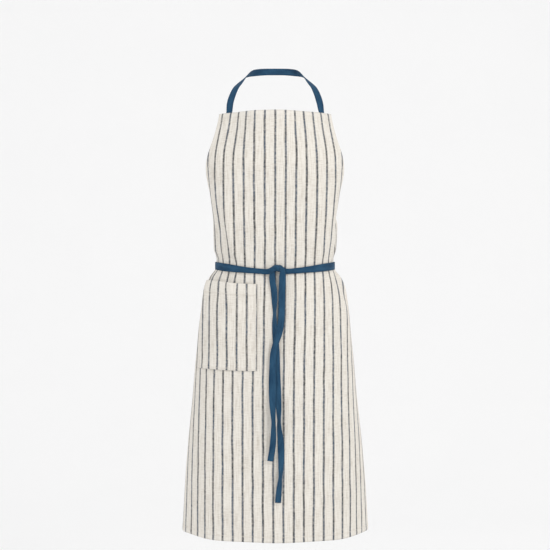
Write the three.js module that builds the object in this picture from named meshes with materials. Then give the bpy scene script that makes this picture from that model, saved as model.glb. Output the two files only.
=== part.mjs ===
// A butcher's bib apron as it is worn: one striped cloth panel with a patch pocket, a tape round
// the neck, and two tapes that cross at the back and are tied in front in a half knot.
//
// Millimetres. The origin is the middle of the neck strap's inner face, at the nape of the neck.
// +X is to the right of someone facing the apron, -Y is forward, away from the wearer, +Z is up.

import * as THREE from 'three';

// Driving dimensions

const BIB_TOP_Z = -103;
const HEM_Z = -972;
const TORSO_Y = -60;             // the upright middle axis of the wearer's trunk

const CLOTH = 1.2;               // thickness of the panel and the pocket, hems included
const HALF_WIDTH = 350;          // half of the cut's width below the armholes
const BIB_HALF_WIDTH = 136;      // half of the cut's width at the top of the bib
const ARMHOLE_DROP = 300;        // from the top of the bib to the side corners
const ARMHOLE_POWER = 1.8;       // 2 would make the armhole a plain quarter of an ellipse
const HEM_FOLD = 11;             // from a finished edge to its row of stitching

const BIB_ROWS = 14;
const SKIRT_ROWS = 18;
const SKIRT_CROWDING = 1.5;      // above 1 the skirt's rows crowd up to the waist
const HALF_COLUMNS = 20;

const TAPE_WIDTH = 16;
const TAPE = 1.2;                // thickness of the folded tape
const TAPE_GAP = 1.4;            // from the panel to a tape that lies on it
const SEWN_LENGTH = 28;          // of a tape end that is sewn on

const POCKET = { inner: 36, outer: 186, top: -456, bottom: -630, seam: 4, mouth: 22 };
const POCKET_GAPE = 12;          // how far the middle of the pocket's mouth stands open
const POCKET_ROWS = 9;

const THREAD = { width: 0.9, depth: 0.5, lift: 0.5 };
const BOX_STITCH_LIFT = 1.0;
const EDGE_SEAM_LIFT = 1.4;      // a seam that runs across the panel's columns clears their ridges

const WAIST_FRONT_Z = -430;      // the tapes' middle line, from the knot round to the back
const WAIST_SIDE_Z = -418;
const WAIST_BACK_Z = -414;
const SEWN_DROP = 18;            // of a waist tape's sewn end below its line round the waist

const KNOT = { x: 5, z: -427, proud: 6.8, turn: 7.6, reach: 3.5, strand: 2.2 };
const TAIL_TOP_Z = KNOT.z - 11.5;

// The draped cloth stands round the trunk as a stack of level sections, each a super-ellipse with
// a half width, a front depth and a back depth. Squareness 2 is a plain ellipse. Gather is the
// width that the tapes bunch up at each side.
const SECTIONS = [
  { z: -103, half: 130, front: 87, back: 70, square: 1.45, gather: 0 },
  { z: -150, half: 150, front: 104, back: 75, square: 1.75, gather: 0 },
  { z: -200, half: 157, front: 117, back: 80, square: 2.6, gather: 2 },
  { z: -245, half: 147, front: 116, back: 82, square: 3.4, gather: 12 },
  { z: -322, half: 128, front: 105, back: 82, square: 4.0, gather: 34 },
  { z: -364, half: 124, front: 98, back: 81, square: 3.3, gather: 42 },
  { z: -402, half: 122, front: 93, back: 80, square: 2.5, gather: 46 },
  { z: -428, half: 123, front: 91, back: 80, square: 2.3, gather: 46 },
  { z: -469, half: 141, front: 95, back: 87, square: 2.3, gather: 32 },
  { z: -511, half: 150, front: 99, back: 96, square: 2.4, gather: 16 },
  { z: -595, half: 163, front: 104, back: 104, square: 2.4, gather: 4 },
  { z: -784, half: 182, front: 111, back: 109, square: 2.2, gather: 0 },
  { z: -972, half: 195, front: 116, back: 112, square: 2.0, gather: 0 },
];

// Each tail's middle line: how far it hangs to the right of the knot's middle plane, by height
const LEFT_TAIL = [
  [-5.4, TAIL_TOP_Z], [-2.6, -465], [-1, -497], [-1, -533], [1, -565], [3, -590], [3.6, -625],
  [5.8, -675], [8, -726], [11, -766], [12.2, -796], [12, -820], [10.6, -840], [6, -891],
];
const RIGHT_TAIL = [
  [15, TAIL_TOP_Z], [14, -470], [13.4, -497], [12.2, -530], [8.5, -553], [1.5, -575],
  [-2.5, -592], [-4.6, -625], [-5, -685], [-3, -730], [-4, -772], [-9.5, -808],
];

// One side of the neck strap's inner face, from the top of the bib over the shoulder to the nape,
// and the way that the face looks away from the body there
const STRAP_SIDE = [
  { at: [92.5, -94, -82], out: [0.2, -0.85, 0.45] },
  { at: [87, -85, -62], out: [0.2, -0.75, 0.6] },
  { at: [80.5, -76, -47], out: [0.25, -0.55, 0.8] },
  { at: [74.5, -66, -38], out: [0.35, -0.45, 0.82] },
  { at: [67.5, -55, -28], out: [0.5, -0.25, 0.8] },
  { at: [60, -44, -18], out: [0.65, 0, 0.75] },
  { at: [53, -32, -11], out: [0.75, 0.3, 0.6] },
  { at: [44, -19, -6], out: [0.6, 0.7, 0.35] },
  { at: [32, -8, -2.4], out: [0.4, 0.9, 0.15] },
  { at: [18, -1.6, -0.4], out: [0.15, 1, 0] },
  { at: [8, 0, 0], out: [0, 1, 0] },
];

// Plain numbers

function smooth(from, to, value) {
  return THREE.MathUtils.smoothstep(value, from, to);
}

// A curve through every section's value of one kind, with slopes that match its neighbours
function sectionValue(kind, z) {
  const last = SECTIONS.length - 1;
  let i = 0;
  while (i < last - 1 && z < SECTIONS[i + 1].z) i += 1;
  const a = SECTIONS[i];
  const b = SECTIONS[i + 1];
  const before = SECTIONS[Math.max(i - 1, 0)];
  const after = SECTIONS[Math.min(i + 2, last)];
  const span = b.z - a.z;
  const t = THREE.MathUtils.clamp((z - a.z) / span, 0, 1);
  const slopeA = (b[kind] - before[kind]) / (b.z - before.z) * span;
  const slopeB = (after[kind] - a[kind]) / (after.z - a.z) * span;
  return (2 * t ** 3 - 3 * t ** 2 + 1) * a[kind] + (t ** 3 - 2 * t ** 2 + t) * slopeA
    + (3 * t ** 2 - 2 * t ** 3) * b[kind] + (t ** 3 - t ** 2) * slopeB;
}

// The draped surface

const sectionTables = new Map();

// One half of the level section at a height, as points with their distance along the cloth
function sectionTable(z) {
  if (sectionTables.has(z)) return sectionTables.get(z);
  const half = sectionValue('half', z);
  const front = sectionValue('front', z);
  const back = sectionValue('back', z);
  const power = 2 / sectionValue('square', z);
  const steps = 360;
  const table = [];
  let along = 0;
  for (let i = 0; i <= steps; i += 1) {
    const angle = Math.PI * i / steps;
    const depth = Math.abs(Math.cos(angle)) ** power;
    const x = half * Math.max(Math.sin(angle), 0) ** power;
    const y = TORSO_Y + (angle < Math.PI / 2 ? -front * depth : back * depth);
    if (i > 0) along += Math.hypot(x - table[i - 1].x, y - table[i - 1].y);
    table.push({ x, y, along });
  }
  sectionTables.set(z, table);
  return table;
}

function halfGirth(z) {
  return sectionTable(z).at(-1).along;
}

// The point at a distance along the section from its front middle, lifted off the cloth
function girthPoint(along, z, lift) {
  const table = sectionTable(z);
  const distance = Math.min(Math.abs(along), table.at(-1).along);
  let i = 1;
  while (i < table.length - 1 && table[i].along < distance) i += 1;
  const a = table[i - 1];
  const b = table[i];
  const t = (distance - a.along) / (b.along - a.along);
  const before = table[Math.max(i - 4, 0)];
  const after = table[Math.min(i + 3, table.length - 1)];
  const run = Math.hypot(after.x - before.x, after.y - before.y);
  const outX = (after.y - before.y) / run;
  const outY = -(after.x - before.x) / run;
  const x = THREE.MathUtils.lerp(a.x, b.x, t) + outX * lift;
  const y = THREE.MathUtils.lerp(a.y, b.y, t) + outY * lift;
  return new THREE.Vector3(along < 0 ? -x : x, y, z);
}

// How far round the trunk a place on the flat cut comes, once the gathers have taken theirs
function draped(across, z) {
  const taken = sectionValue('gather', z) * smooth(110, 220, Math.abs(across));
  return Math.sign(across) * (Math.abs(across) - taken);
}

function clothPoint(across, z, lift = 0) {
  return girthPoint(draped(across, z), z, lift);
}

// The depth of the skirt's front at a place seen from the front
function frontY(x, z) {
  const square = sectionValue('square', z);
  const share = 1 - (Math.abs(x) / sectionValue('half', z)) ** square;
  return TORSO_Y - sectionValue('front', z) * share ** (1 / square);
}

// Heights of the panel's rows, with the half width of the cut at each
function panelRows() {
  const rows = [];
  for (let i = 0; i < BIB_ROWS; i += 1) {
    const angle = Math.PI / 2 * i / BIB_ROWS;
    const drop = ARMHOLE_DROP * Math.sin(angle) ** (2 / ARMHOLE_POWER);
    const inset = (HALF_WIDTH - BIB_HALF_WIDTH) * Math.cos(angle) ** (2 / ARMHOLE_POWER);
    rows.push({ z: BIB_TOP_Z - drop, half: HALF_WIDTH - inset });
  }
  const cornerZ = BIB_TOP_Z - ARMHOLE_DROP;
  for (let i = 0; i <= SKIRT_ROWS; i += 1) {
    const share = (i / SKIRT_ROWS) ** SKIRT_CROWDING;
    rows.push({ z: THREE.MathUtils.lerp(cornerZ, HEM_Z, share), half: HALF_WIDTH });
  }
  return rows;
}

const ROWS = panelRows();
const COLUMNS = [];
for (let i = -HALF_COLUMNS; i <= HALF_COLUMNS; i += 1) COLUMNS.push(i / HALF_COLUMNS);

// Solids

function solid(name, points, faces, material) {
  const positions = points.flatMap((p) => [p.x, p.y, p.z]);
  const volume = faces.reduce((sum, [a, b, c]) => {
    const cross = new THREE.Vector3().crossVectors(points[b], points[c]);
    return sum + points[a].dot(cross);
  }, 0);
  const outward = volume > 0 ? faces : faces.map(([a, b, c]) => [a, c, b]);
  const geometry = new THREE.BufferGeometry();
  geometry.setAttribute('position', new THREE.Float32BufferAttribute(positions, 3));
  geometry.setIndex(outward.flat());
  geometry.computeVertexNormals();
  const mesh = new THREE.Mesh(geometry, material);
  mesh.name = name;
  return mesh;
}

// A sheet with two faces, each a grid of points, and a rim that joins them
function sheet(name, outer, inner, material) {
  const rows = outer.length;
  const columns = outer[0].length;
  const points = [...outer.flat(), ...inner.flat()];
  const faces = [];
  const quad = (a, b, c, d) => faces.push([a, b, c], [a, c, d]);
  const at = (face, row, column) => face * rows * columns + row * columns + column;
  for (let r = 0; r < rows - 1; r += 1) {
    for (let c = 0; c < columns - 1; c += 1) {
      quad(at(0, r, c), at(0, r + 1, c), at(0, r + 1, c + 1), at(0, r, c + 1));
      quad(at(1, r, c), at(1, r, c + 1), at(1, r + 1, c + 1), at(1, r + 1, c));
    }
  }
  for (let r = 0; r < rows - 1; r += 1) {
    quad(at(0, r, 0), at(1, r, 0), at(1, r + 1, 0), at(0, r + 1, 0));
    quad(at(0, r + 1, columns - 1), at(1, r + 1, columns - 1), at(1, r, columns - 1),
      at(0, r, columns - 1));
  }
  for (let c = 0; c < columns - 1; c += 1) {
    quad(at(0, 0, c + 1), at(1, 0, c + 1), at(1, 0, c), at(0, 0, c));
    quad(at(0, rows - 1, c), at(1, rows - 1, c), at(1, rows - 1, c + 1), at(0, rows - 1, c + 1));
  }
  return solid(name, points, faces, material);
}

// A run of like rings of points, closed on itself or with its two ends capped
function run(name, rings, material, closed = false) {
  const count = rings[0].length;
  const faces = [];
  const last = closed ? rings.length : rings.length - 1;
  for (let r = 0; r < last; r += 1) {
    const here = r * count;
    const next = (r + 1) % rings.length * count;
    for (let k = 0; k < count; k += 1) {
      const k2 = (k + 1) % count;
      faces.push([here + k, next + k, next + k2], [here + k, next + k2, here + k2]);
    }
  }
  if (!closed) {
    const end = (rings.length - 1) * count;
    for (let k = 1; k < count - 1; k += 1) {
      faces.push([0, k, k + 1], [end, end + k + 1, end + k]);
    }
  }
  return solid(name, rings.flat(), faces, material);
}

// Four corners of a thread's or a tape's section, between two lifts off a surface
function section(place, side, low, high) {
  return [place(-side, low), place(-side, high), place(side, high), place(side, low)];
}

// Colours

const fabric = (color) => new THREE.MeshStandardMaterial({ color, roughness: 0.9, metalness: 0 });
const stripedCloth = () => fabric(0xe6ded2);
const blueTape = () => fabric(0x2c4b64);
const creamThread = () => fabric(0xd9d0c0);
const blueThread = () => fabric(0x24405a);

const apron = new THREE.Group();

// Body panel, one cut of cloth from the bib to the hem

function bodyPanel() {
  const face = (lift) => ROWS.map(({ z, half }) => COLUMNS.map(
    (share) => clothPoint(share * half, z, lift)));
  return sheet('body_panel', face(0), face(-CLOTH), stripedCloth());
}
apron.add(bodyPanel());

// Rows of stitching that hold the panel's hems

function levelSeam(name, z, reach) {
  const { width, depth, lift } = THREAD;
  const rings = COLUMNS.map((share) => section(
    (side, out) => clothPoint(share * reach, z + side, out), width / 2, lift, lift + depth));
  return run(name, rings, creamThread());
}

function edgeSeam(name, hand, rows) {
  const { width, depth } = THREAD;
  const lift = EDGE_SEAM_LIFT;
  const rings = rows.map(({ z, half }) => section(
    (side, out) => clothPoint(hand * (half - HEM_FOLD + side), z, out),
    width / 2, lift, lift + depth));
  return run(name, rings, creamThread());
}

const armholeRows = ROWS.slice(1, BIB_ROWS - 1);
const sideRows = ROWS.slice(BIB_ROWS + 3, -1);
apron.add(levelSeam('bib_top_seam', BIB_TOP_Z - 2 * HEM_FOLD, BIB_HALF_WIDTH - 14));
apron.add(levelSeam('bottom_hem_seam', HEM_Z + HEM_FOLD, HALF_WIDTH - 3));
for (const [side, hand] of [['left', -1], ['right', 1]]) {
  apron.add(edgeSeam(`armhole_seam_${side}`, hand, armholeRows));
  apron.add(edgeSeam(`side_seam_${side}`, hand, sideRows));
}

// Patch pocket on the left of the skirt, sewn down on three sides

// How far the pocket stands off the panel at a share of its width and of its height
function pocketGape(wide, down) {
  return 0.5 + POCKET_GAPE * Math.sin(Math.PI * wide) ** 0.7 * (1 - down) ** 0.7;
}

const pocketWidth = POCKET.outer - POCKET.inner;
const pocketHeight = POCKET.top - POCKET.bottom;

function pocketPoint(wide, down, lift) {
  const across = -(POCKET.inner + pocketWidth * wide);
  const z = POCKET.top - pocketHeight * down;
  return clothPoint(across, z, pocketGape(wide, down) + lift);
}

// Shares of the pocket's width that fall on the panel's own columns, and its two edges
const pocketShares = [0, 1];
for (let i = 0; i <= HALF_COLUMNS; i += 1) {
  const share = (HALF_WIDTH * i / HALF_COLUMNS - POCKET.inner) / pocketWidth;
  if (share > 0.02 && share < 0.98) pocketShares.push(share);
}
pocketShares.sort((a, b) => a - b);
const pocketDrops = [];
for (let i = 0; i <= POCKET_ROWS; i += 1) pocketDrops.push(i / POCKET_ROWS);

function pocket() {
  const face = (lift) => pocketDrops.map((down) => pocketShares.map(
    (wide) => pocketPoint(wide, down, lift)));
  return sheet('pocket', face(CLOTH), face(0), stripedCloth());
}
apron.add(pocket());

function pocketSeam() {
  const inX = POCKET.seam / pocketWidth;
  const inZ = POCKET.seam / pocketHeight;
  const thick = THREAD.width / 2;
  const low = CLOTH + THREAD.lift;
  const corners = [inX, ...pocketShares.slice(1, -1), 1 - inX];
  const upright = pocketDrops.slice(0, -1).map((down) => Math.max(down, inZ));
  const side = (wide, hand) => upright.map((down) => section(
    (s, out) => pocketPoint(wide + hand * s / pocketWidth, down, out),
    thick, low, low + THREAD.depth));
  const foot = corners.map((wide, i) => {
    const lean = i === 0 ? 1 : i === corners.length - 1 ? -1 : 0;
    return section(
      (s, out) => pocketPoint(wide + lean * s / pocketWidth, 1 - inZ - s / pocketHeight, out),
      thick, low, low + THREAD.depth);
  });
  return run('pocket_seam', [...side(inX, 1), ...foot, ...side(1 - inX, -1).reverse()],
    creamThread());
}
apron.add(pocketSeam());

function pocketMouthSeam() {
  const low = CLOTH + THREAD.lift;
  const rings = pocketShares.slice(1, -1).map((wide) => section(
    (s, out) => pocketPoint(wide, (POCKET.mouth + s) / pocketHeight, out),
    THREAD.width / 2, low, low + THREAD.depth));
  return run('pocket_mouth_seam', rings, creamThread());
}
apron.add(pocketMouthSeam());

// A bar tack: a short block of close stitches across each upper corner of the pocket
function barTack(name, wide) {
  const low = CLOTH + THREAD.lift;
  const half = 3.5 / pocketWidth;
  const rings = [wide - half, wide + half].map((share) => section(
    (s, out) => pocketPoint(share, (1.6 + s) / pocketHeight, out), 0.7, low, low + 0.6));
  return run(name, rings, creamThread());
}
apron.add(barTack('bar_tack_inner', 4 / pocketWidth));
apron.add(barTack('bar_tack_outer', 1 - 4 / pocketWidth));

// Neck strap, sewn behind both top corners of the bib

function strapRing(centre, out, along) {
  const across = out.clone().cross(along).normalize();
  const face = new THREE.Vector3().crossVectors(along, across).normalize();
  const corner = (side, lift) => centre.clone().addScaledVector(across, side)
    .addScaledVector(face, lift);
  const half = TAPE_WIDTH / 2;
  return [corner(-half, 0), corner(-half, TAPE), corner(half, TAPE), corner(half, 0)];
}

const STRAP_ACROSS = 110;        // where the strap's middle line crosses the top of the bib
const STRAP_LEAN = 0.33;         // how far its sewn end spreads outwards as it goes down
const STRAP_LIFT = -(CLOTH + 2 + TAPE);

function strapSide() {
  const behindBib = [SEWN_LENGTH, SEWN_LENGTH / 2, 1].map((drop) => {
    const across = STRAP_ACROSS + STRAP_LEAN * drop;
    const place = clothPoint(across, BIB_TOP_Z - drop, STRAP_LIFT);
    const outward = clothPoint(across, BIB_TOP_Z - drop, 0).sub(place);
    return { at: place.toArray(), out: outward.toArray() };
  });
  return [...behindBib, ...STRAP_SIDE];
}

// The strap turns over between its places, so it takes several rings from one to the next
const RINGS_PER_PLACE = 5;

function neckStrap() {
  const places = strapSide();
  const middle = new THREE.CatmullRomCurve3(
    places.map(({ at }) => new THREE.Vector3(...at)), false, 'centripetal');
  const facing = new THREE.CatmullRomCurve3(
    places.map(({ out }) => new THREE.Vector3(...out).normalize()));
  const steps = RINGS_PER_PLACE * (places.length - 1);
  const side = [];
  for (let i = 0; i < steps; i += 1) {
    side.push(strapRing(middle.getPoint(i / steps), facing.getPoint(i / steps),
      middle.getTangent(i / steps)));
  }
  // it lies flat across the nape
  side.push(strapRing(middle.getPoint(1), facing.getPoint(1), new THREE.Vector3(-1, 0, 0)));
  const otherSide = side.map((ring) => ring.map(({ x, y, z }) => new THREE.Vector3(-x, y, z)));
  return run('neck_strap', [...side, ...otherSide.reverse()], blueTape());
}
apron.add(neckStrap());

// A box of stitches through a sewn-on tape end, on the panel's outer face
function boxStitch(name, acrossFrom, acrossTo, zTop, zFoot) {
  const { width, depth } = THREAD;
  const lift = BOX_STITCH_LIFT;
  const middle = (acrossFrom + acrossTo) / 2;
  const stops = [
    [acrossFrom, zTop], [middle, zTop], [acrossTo, zTop],
    [acrossTo, zFoot], [middle, zFoot], [acrossFrom, zFoot],
  ];
  const rings = stops.map(([across, z]) => {
    const inX = Math.sign(middle - across);
    const inZ = Math.sign((zTop + zFoot) / 2 - z);
    return section((s, out) => clothPoint(across + inX * s, z + inZ * s, out),
      width / 2, lift, lift + depth);
  });
  return run(name, rings, creamThread(), true);
}
const strapBox = {
  across: STRAP_ACROSS + 3, reach: TAPE_WIDTH / 2 - 2.5, top: BIB_TOP_Z - 4, foot: BIB_TOP_Z - 18,
};
for (const [side, hand] of [['left', -1], ['right', 1]]) {
  apron.add(boxStitch(`strap_stitch_${side}`, hand * (strapBox.across - strapBox.reach),
    hand * (strapBox.across + strapBox.reach), strapBox.top, strapBox.foot));
}

// Waist tapes: each is sewn inside one side corner, crosses the back and comes round the other
// side over the panel to the knot

// The middle line's height, by the share of the way from the front middle to the back middle
function waistZ(share) {
  const side = smooth(0, 0.5, share);
  const back = smooth(0.5, 0.85, share);
  return WAIST_FRONT_Z + (WAIST_SIDE_Z - WAIST_FRONT_Z) * side
    + (WAIST_BACK_Z - WAIST_SIDE_Z) * back;
}

function waistRing(hand, along, z, lift, halfHeight) {
  return section((side, out) => girthPoint(hand * along, z + side, out),
    halfHeight, lift, lift + TAPE);
}

const CLEAR_OF_EDGE = 0.04;      // share of the open back in which a tape leaves the panel's edge

function waistTape(name, hand, over, knotReach) {
  const rings = [];
  const inside = -(CLOTH + 0.9 + TAPE);
  const column = HALF_WIDTH / HALF_COLUMNS;
  const height = TAPE_WIDTH / 2;
  const sewnZ = WAIST_BACK_Z - SEWN_DROP;
  for (const across of [HALF_WIDTH - SEWN_LENGTH, HALF_WIDTH - column, HALF_WIDTH]) {
    rings.push(waistRing(hand, Math.abs(draped(across, sewnZ)), sewnZ, inside, height));
  }
  // the two tapes rise across the open back and cross in its middle, one over the other
  for (const t of [CLEAR_OF_EDGE, 0.1, 0.2, 0.3, 0.4, 0.5, 0.6, 0.7, 0.8, 0.9]) {
    const z = sewnZ + SEWN_DROP * smooth(0, 1, t);
    const edge = Math.abs(draped(HALF_WIDTH, z));
    const girth = halfGirth(z);
    const travelled = edge + 2 * (girth - edge) * t;
    const passed = travelled > girth;
    const along = passed ? 2 * girth - travelled : travelled;
    rings.push(waistRing(passed ? -hand : hand, along, z,
      over && t > CLEAR_OF_EDGE ? TAPE_GAP : inside, height));
  }
  for (let i = HALF_COLUMNS; i * column > knotReach; i -= 1) {
    const across = i * column;
    const z = waistZ(across / HALF_WIDTH);
    const along = Math.abs(draped(across, z));
    rings.push(waistRing(-hand, along, z, TAPE_GAP, height));
  }
  rings.push(waistRing(-hand, knotReach, WAIST_FRONT_Z, TAPE_GAP, height * 0.45));
  return run(name, rings, blueTape());
}
const knotEntry = KNOT.turn + 6.5;
apron.add(waistTape('left_tie_waist', -1, true, KNOT.x + knotEntry));
apron.add(waistTape('right_tie_waist', 1, false, knotEntry - KNOT.x));

const tieBox = { inner: HALF_WIDTH - 24, outer: HALF_WIDTH - 5, reach: TAPE_WIDTH / 2 - 2.5 };
for (const [side, hand] of [['left', -1], ['right', 1]]) {
  apron.add(boxStitch(`tie_stitch_${side}`, hand * tieBox.inner, hand * tieBox.outer,
    WAIST_BACK_Z - SEWN_DROP + tieBox.reach, WAIST_BACK_Z - SEWN_DROP - tieBox.reach));
}

// Half knot: the two tapes, bunched to round strands, twist about each other one and a half turns

const knotY = frontY(KNOT.x, KNOT.z) - KNOT.proud;

function knotPoint(x, forward, up) {
  return new THREE.Vector3(KNOT.x + x, knotY - forward, KNOT.z + up);
}

// hand 1 comes in from the right and leaves at the left, behind. hand -1 is the other strand.
function knotStrand(name, hand, entry, leave) {
  const { turn, reach, strand } = KNOT;
  const curve = new THREE.CatmullRomCurve3([
    knotPoint(hand * (knotEntry - 0.8), entry, WAIST_FRONT_Z - KNOT.z),
    knotPoint(hand * turn, -hand * reach, 0),
    knotPoint(hand * turn / 2, 0, -reach),
    knotPoint(0, hand * reach, 0),
    knotPoint(-hand * turn / 2, 0, reach),
    knotPoint(-hand * turn, -hand * reach, 0),
    knotPoint(-hand * 9, leave, -5),
    knotPoint(-hand * 10, leave, -10),
  ]);
  const round = new THREE.Shape().absarc(0, 0, strand, 0, 2 * Math.PI);
  const geometry = new THREE.ExtrudeGeometry(round, {
    steps: 40, curveSegments: 5, extrudePath: curve, bevelEnabled: false,
  });
  const mesh = new THREE.Mesh(geometry, blueTape());
  mesh.name = name;
  return mesh;
}
apron.add(knotStrand('left_tie_knot', 1, -3.4, -2));
apron.add(knotStrand('right_tie_knot', -1, -1, 3.2));

// Tails: the free ends hang in front of the skirt. The right one crosses over the left one.

function tailRings(line, clear, low, high, from, to, halfWidth) {
  const curve = new THREE.CatmullRomCurve3(
    line.map(([x, z]) => new THREE.Vector3(x, 0, z)), false, 'centripetal');
  const steps = 26;
  const rings = [];
  for (let i = 0; i <= steps; i += 1) {
    const { x, z } = curve.getPointAt(THREE.MathUtils.lerp(from, to, i / steps));
    const y = Math.min(frontY(x, z), frontY(x - 8, z), frontY(x + 8, z)) - clear(z);
    rings.push([[-1, low], [-1, high], [1, high], [1, low]].map(
      ([side, out]) => new THREE.Vector3(x + side * halfWidth, y - out, z)));
  }
  return rings;
}

// A tail leaves the knot at the strand's depth and settles onto what it lies on
const behindClear = (z) => THREE.MathUtils.lerp(KNOT.proud - 2.6, 1.2, smooth(0, 90, KNOT.z - z));
const aheadClear = (z) => THREE.MathUtils.lerp(KNOT.proud + 2.6, 4.4, smooth(0, 90, KNOT.z - z));

const tails = [
  { side: 'left', line: LEFT_TAIL, clear: behindClear },
  { side: 'right', line: RIGHT_TAIL, clear: aheadClear },
];
for (const { side, line, clear } of tails) {
  const half = TAPE_WIDTH / 2 - 1;
  apron.add(run(`${side}_tie_tail`, tailRings(line, clear, 0, TAPE, 0, 1, half), blueTape()));
  const low = TAPE + THREAD.lift;
  const stitch = tailRings(line, clear, low, low + THREAD.depth, 0.975, 0.9775, half - 1.5);
  apron.add(run(`${side}_tie_end_seam`, stitch.slice(0, 2).concat(stitch.slice(-1)), blueThread()));
}

export default apron;
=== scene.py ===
import math

import bpy
import numpy as np
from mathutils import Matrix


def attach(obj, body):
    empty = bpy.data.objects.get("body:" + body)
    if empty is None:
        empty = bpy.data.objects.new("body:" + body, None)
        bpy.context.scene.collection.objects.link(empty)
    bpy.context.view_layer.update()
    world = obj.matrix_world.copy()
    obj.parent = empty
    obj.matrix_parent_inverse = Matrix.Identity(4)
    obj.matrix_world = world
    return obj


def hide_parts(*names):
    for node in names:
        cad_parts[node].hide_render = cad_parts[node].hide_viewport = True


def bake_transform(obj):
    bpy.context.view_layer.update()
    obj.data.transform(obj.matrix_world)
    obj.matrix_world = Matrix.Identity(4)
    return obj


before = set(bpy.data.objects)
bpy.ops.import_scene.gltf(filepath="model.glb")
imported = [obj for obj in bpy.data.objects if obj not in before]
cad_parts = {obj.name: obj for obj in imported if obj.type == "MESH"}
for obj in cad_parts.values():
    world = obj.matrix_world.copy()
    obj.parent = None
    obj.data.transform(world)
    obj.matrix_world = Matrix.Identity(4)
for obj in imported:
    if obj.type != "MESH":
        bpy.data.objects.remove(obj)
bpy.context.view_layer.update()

# Camera: straight in front of the apron and level with its middle, 2.3 m from the wearer's trunk
CAMERA_DISTANCE = 2.3
CAMERA_HEIGHT = -0.4375
TRUNK_Y = -0.06
camera = bpy.data.objects.new("camera", bpy.data.cameras.new("camera"))
bpy.context.collection.objects.link(camera)
camera.location = (0.0, TRUNK_Y - CAMERA_DISTANCE, CAMERA_HEIGHT)
camera.rotation_euler = (math.pi / 2, 0.0, 0.0)
camera.data.sensor_width = 36.0
camera.data.lens = 71.7
bpy.context.scene.camera = camera
bpy.context.scene.view_settings.view_transform = "Standard"

# Body panel: one cut of yarn-dyed cotton and linen, 700 mm wide and 890 mm long, cream with thin
# slate blue stripes. Its edges are turned twice to the inside. It hangs from the neck strap round
# the wearer's trunk, and the waist ties gather it. Heights count from the nape of the neck.
BIB_TOP = -0.103
HEM = -0.972
PANEL_LENGTH = BIB_TOP - HEM
HALF_CUT = 0.350
HALF_BIB = 0.136
ARMHOLE_DROP = 0.300
ARMHOLE_POWER = 1.8
CLOTH = 0.0007
HEM_FOLD = 0.011

# Worn, the cloth stands round the trunk as a stack of level sections: a half width, the depth of
# the front and of the back, and how square the section is, where 2 is a plain ellipse
SECTIONS = np.array([
    # height, half width, front, back, squareness
    (-0.103, 0.130, 0.087, 0.070, 1.45),
    (-0.150, 0.150, 0.104, 0.075, 1.75),
    (-0.200, 0.157, 0.117, 0.080, 2.6),
    (-0.245, 0.147, 0.116, 0.082, 3.4),
    (-0.280, 0.138, 0.111, 0.082, 3.8),
    (-0.322, 0.128, 0.105, 0.082, 4.0),
    (-0.364, 0.124, 0.098, 0.081, 3.3),
    (-0.402, 0.122, 0.093, 0.080, 2.5),
    (-0.428, 0.123, 0.091, 0.080, 2.3),
    (-0.469, 0.141, 0.095, 0.087, 2.3),
    (-0.511, 0.150, 0.099, 0.096, 2.4),
    (-0.595, 0.163, 0.104, 0.104, 2.4),
    (-0.700, 0.173, 0.108, 0.107, 2.3),
    (-0.784, 0.182, 0.111, 0.109, 2.2),
    (-0.868, 0.189, 0.114, 0.111, 2.1),
    (-0.972, 0.195, 0.116, 0.112, 2.0),
])
SWAY = -0.0010                  # how far the skirt hangs to one side of the bib
TIE_FRONT, TIE_SIDE, TIE_BACK = -0.4310, -0.418, -0.414     # heights of the waist ties


def smooth(low, high, value):
    """0 at low and 1 at high, with a smooth rise between them."""
    share = np.clip((np.asarray(value, float) - low) / (high - low), 0.0, 1.0)
    return share * share * (3.0 - 2.0 * share)


def bell(value, middle, width):
    """1 at the middle, falling smoothly to nothing at about twice the width."""
    return np.exp(-((np.asarray(value, float) - middle) / width) ** 2)


def through(places, values, at):
    """A smooth curve through values given at rising places."""
    slopes = np.gradient(values, places)
    i = np.clip(np.searchsorted(places, at) - 1, 0, len(places) - 2)
    span = places[i + 1] - places[i]
    t = np.clip((at - places[i]) / span, 0.0, 1.0)
    rise = (2 * t**3 - 3 * t**2 + 1) * values[i] + (3 * t**2 - 2 * t**3) * values[i + 1]
    return rise + span * ((t**3 - 2 * t**2 + t) * slopes[i] + (t**3 - t**2) * slopes[i + 1])


def tie_height(share):
    """The waist ties' middle line, by the share of the way from the front to the back."""
    side = (TIE_SIDE - TIE_FRONT) * smooth(0.0, 0.5, share)
    return TIE_FRONT + side + (TIE_BACK - TIE_SIDE) * smooth(0.5, 0.85, share)


def cut_half_width(drop):
    """Half the width of the flat cut, by the distance below the top of the bib."""
    share = np.clip(np.asarray(drop) / ARMHOLE_DROP, 0.0, 1.0) ** ARMHOLE_POWER
    inset = (HALF_CUT - HALF_BIB) * (1.0 - share) ** (1.0 / ARMHOLE_POWER)
    return np.where(np.asarray(drop) >= ARMHOLE_DROP, HALF_CUT, HALF_CUT - inset)


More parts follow.
